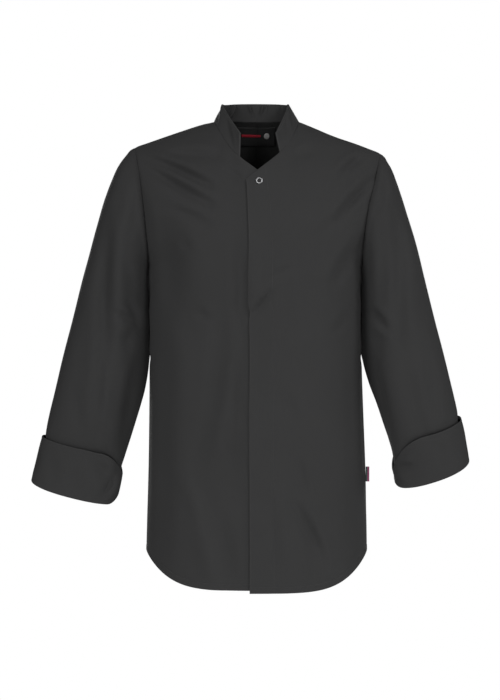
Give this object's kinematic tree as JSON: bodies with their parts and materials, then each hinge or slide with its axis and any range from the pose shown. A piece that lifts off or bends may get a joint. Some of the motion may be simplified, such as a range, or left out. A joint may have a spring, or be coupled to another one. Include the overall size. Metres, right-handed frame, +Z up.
{
  "type": "chef jacket",
  "caption": "Long-sleeved chef jacket, filled out as worn, with a stand collar, a concealed front closing under a ring snap, turned-back cuffs and a curved shirt-tail hem.",
  "frame": {"origin": "middle of the neck opening, level with the collar seam where it crosses the shoulders, where the wearer holds the jacket up", "axes": "+Z up, along the length of the body; -Y is the front of the jacket; +X points to the wearer's left"},
  "size_m": [0.7115, 0.2522, 0.7958],
  "materials": {
    "body_cloth": "fine dark grey polyester and cotton twill, matt with a slight sheen",
    "snap_metal": "nickel-plated pressed ring snap",
    "label_cloth": "black woven label with a plain red bar and a pale dot",
    "tab_cloth": "folded woven tab, grey-green beside maroon"
  },
  "bodies": {
    "root": {"front_right": "body_cloth", "front_left": "body_cloth", "back": "body_cloth", "sleeve_right": "body_cloth", "sleeve_left": "body_cloth", "cuff_right": "body_cloth", "cuff_left": "body_cloth", "collar_outer": "body_cloth", "collar_inner": "body_cloth", "snap_ring": "snap_metal", "neck_label": "label_cloth", "side_tab": "tab_cloth"}
  },
  "joints": []
}
